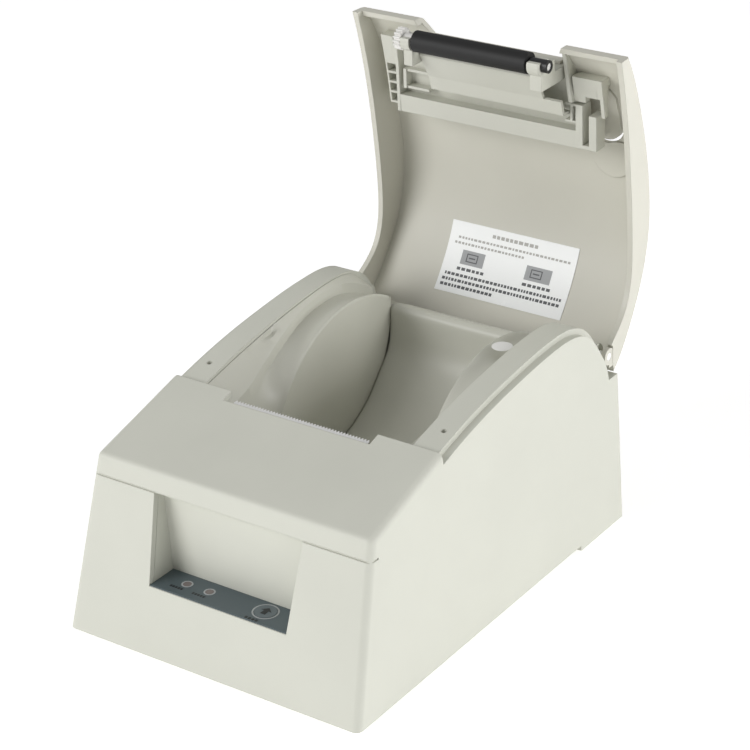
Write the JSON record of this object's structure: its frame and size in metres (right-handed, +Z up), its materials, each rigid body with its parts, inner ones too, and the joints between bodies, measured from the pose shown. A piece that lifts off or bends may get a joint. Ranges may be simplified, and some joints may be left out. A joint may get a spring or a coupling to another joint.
{
  "type": "receipt printer",
  "caption": "Clamshell desktop thermal receipt printer with an arched lid, paper bay, tear bar and recessed front control panel.",
  "frame": {"origin": "on the desk plane, under the middle of the whole printer with its lid open", "axes": "+Z up; -Y is the front, with the control panel; +X is the right-hand side seen from the front; the lid stands open at rest"},
  "size_m": [0.1302, 0.2157, 0.1907],
  "materials": {
    "case_plastic": "fine spark texture",
    "lid_plastic": "fine spark texture",
    "liner_plastic": "smooth moulded",
    "dark_plastic": "smooth moulded",
    "white_plastic": "smooth acetal",
    "panel_film": "satin polyester film",
    "lens": "clear moulded",
    "key_plastic": "satin",
    "rubber": "matte",
    "steel": "zinc plated sheet",
    "bright_steel": "ground",
    "aluminium": "satin extrusion",
    "ceramic": "glazed ceramic",
    "board": "solder mask",
    "parts": "moulded",
    "cable": "flat flexible cable",
    "label": "coated film",
    "sticker": "paper"
  },
  "bodies": {
    "case": {"upper_case": "case_plastic", "base_plate": "case_plastic", "rubber_feet": "rubber", "base_screws": "steel", "control_pocket": "case_plastic", "panel_overlay": "panel_film", "power_lens": "lens", "paper_lens": "lens", "feed_switch": "parts", "panel_board": "board", "panel_leds": "lens", "paper_bucket": "liner_plastic", "paper_sensor": "parts", "left_cheek": "liner_plastic", "right_cheek": "liner_plastic", "mechanism_frame": "steel", "print_head": "ceramic", "heatsink": "aluminium", "head_springs": "steel", "head_cable": "cable", "step_motor": "steel", "gear_pins": "bright_steel", "tear_bar": "bright_steel", "main_board": "board", "board_parts": "parts", "board_screws": "steel", "usb_port": "steel", "drawer_port": "parts", "power_jack": "parts", "switch_body": "parts", "left_hinge_pin": "bright_steel", "right_hinge_pin": "bright_steel", "rail_sticker": "sticker"},
    "motor_pinion": {"motor_pinion": "white_plastic"},
    "idler_gear": {"idler_gear": "white_plastic"},
    "transfer_gear": {"transfer_gear": "white_plastic"},
    "feed_button": {"feed_button": "key_plastic"},
    "power_rocker": {"power_rocker": "parts"},
    "lid": {"lid_shell": "lid_plastic", "lid_bracket": "liner_plastic", "paper_guide": "liner_plastic", "left_bushing": "white_plastic", "right_bushing": "dark_plastic", "instruction_label": "label", "button_spring": "steel"},
    "platen": {"platen_roller": "rubber", "platen_shaft": "bright_steel", "platen_gear": "white_plastic"},
    "release_button": {"release_button": "lid_plastic"}
  },
  "joints": [
    {"name": "lid_hinge", "type": "hinge", "parent": "case", "child": "lid", "pos_m": [0, 0.07265, 0.0725], "axis": [1, 0, 0], "range_deg": [0, 88.5]},
    {"name": "platen_spin", "type": "hinge", "parent": "lid", "child": "platen", "pos_m": [0, 0.06877, 0.18634], "axis": [1, 0, 0], "continuous": true},
    {"name": "release_press", "type": "slide", "parent": "lid", "child": "release_button", "axis": [0, -0.9997, -0.0262], "range_m": [0, 0.0025], "stiffness_N_per_m": 400},
    {"name": "feed_press", "type": "slide", "parent": "case", "child": "feed_button", "axis": [0, 0, -1], "range_m": [0, 0.0006], "stiffness_N_per_m": 500},
    {"name": "power_rock", "type": "hinge", "parent": "case", "child": "power_rocker", "pos_m": [-0.044, 0.07655, 0.022], "axis": [1, 0, 0], "range_deg": [-18, 0]},
    {"name": "idler_spin", "type": "hinge", "parent": "case", "child": "idler_gear", "pos_m": [-0.0318, -0.05051, 0.05073], "axis": [1, 0, 0], "continuous": true},
    {"name": "pinion_spin", "type": "hinge", "parent": "case", "child": "motor_pinion", "pos_m": [-0.0318, -0.05809, 0.04501], "axis": [1, 0, 0], "continuous": true},
    {"name": "transfer_spin", "type": "hinge", "parent": "case", "child": "transfer_gear", "pos_m": [-0.0318, -0.04401, 0.06199], "axis": [1, 0, 0], "continuous": true}
  ],
  "couplings": [
    {"joint": "pinion_spin", "follows": "idler_spin", "ratio": -2.8},
    {"joint": "transfer_spin", "follows": "idler_spin", "ratio": -1.1667}
  ]
}
